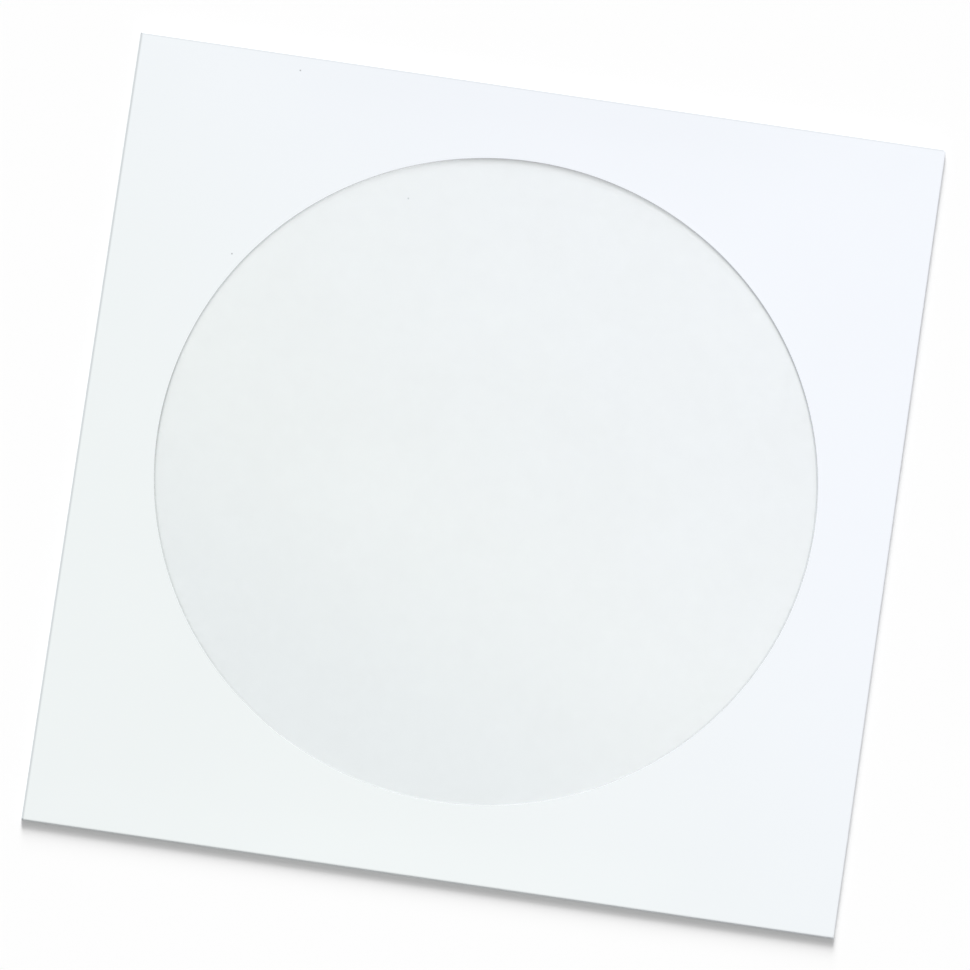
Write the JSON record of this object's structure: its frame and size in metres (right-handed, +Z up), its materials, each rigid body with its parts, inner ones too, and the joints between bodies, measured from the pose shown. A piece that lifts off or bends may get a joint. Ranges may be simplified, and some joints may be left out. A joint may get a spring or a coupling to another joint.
{
  "type": "window envelope",
  "caption": "Square white paper envelope that takes a compact disc, with a round window of clear film in its face and a closing flap folded down behind.",
  "frame": {"origin": "middle of the envelope's outline, on the surface that it lies on", "axes": "+Z up out of the face with the window, +Y towards the fold of the closing flap, +X along that fold"},
  "size_m": [0.125, 0.125, 0.0006],
  "materials": {
    "white_paper": "uncoated smooth",
    "clear_film": "clear gloss"
  },
  "bodies": {
    "root": {"folded_paper": "white_paper", "window_film": "clear_film"}
  },
  "joints": []
}
